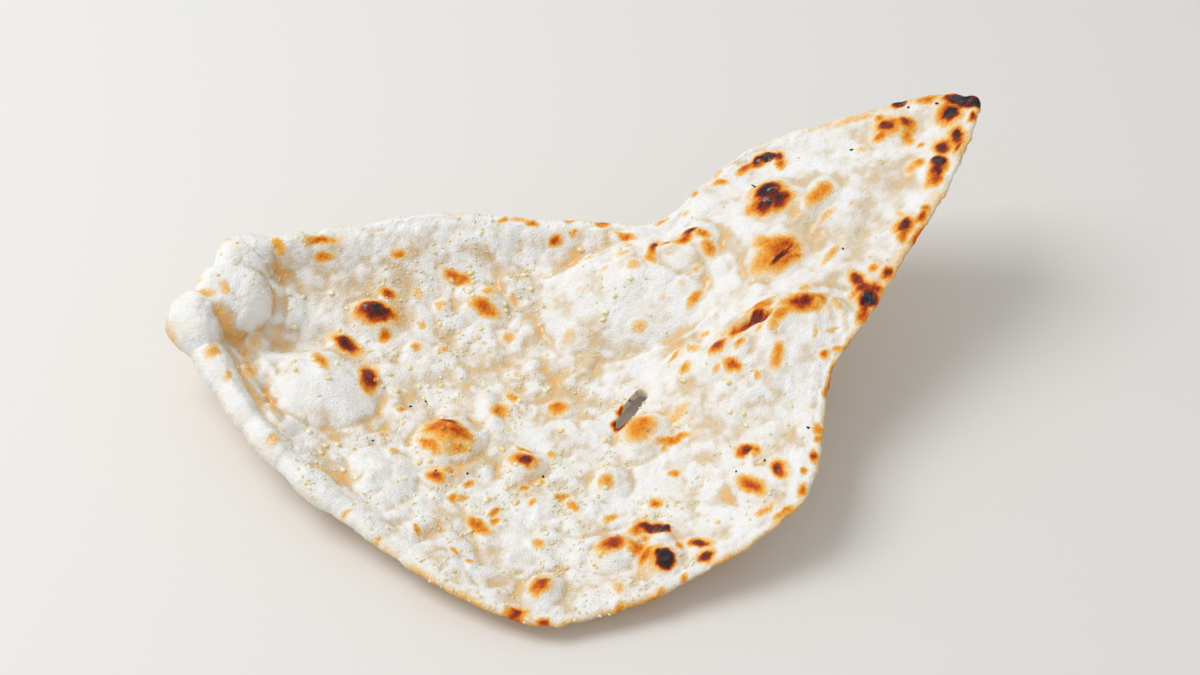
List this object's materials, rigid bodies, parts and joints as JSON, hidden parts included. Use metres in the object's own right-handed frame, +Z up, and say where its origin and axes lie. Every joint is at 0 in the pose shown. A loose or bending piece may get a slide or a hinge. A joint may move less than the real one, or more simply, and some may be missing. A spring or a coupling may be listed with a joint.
{
  "type": "naan bread",
  "caption": "Curled sheet of leavened tandoor bread, round and hollow at one end and pulled to a raised point at the other, with a swollen lip, blisters and a small tear.",
  "frame": {"origin": "middle of the bread's bounding box, on the surface that the bread lies on", "axes": "+X along the bread towards its pulled point, +Y across it, +Z up"},
  "size_m": [0.3301, 0.2323, 0.0875],
  "materials": {
    "crust": "creamy white baked dough with golden brown and charred spots, soft and matt, oily in its hollows"
  },
  "bodies": {
    "root": {"naan": "crust"}
  },
  "joints": []
}
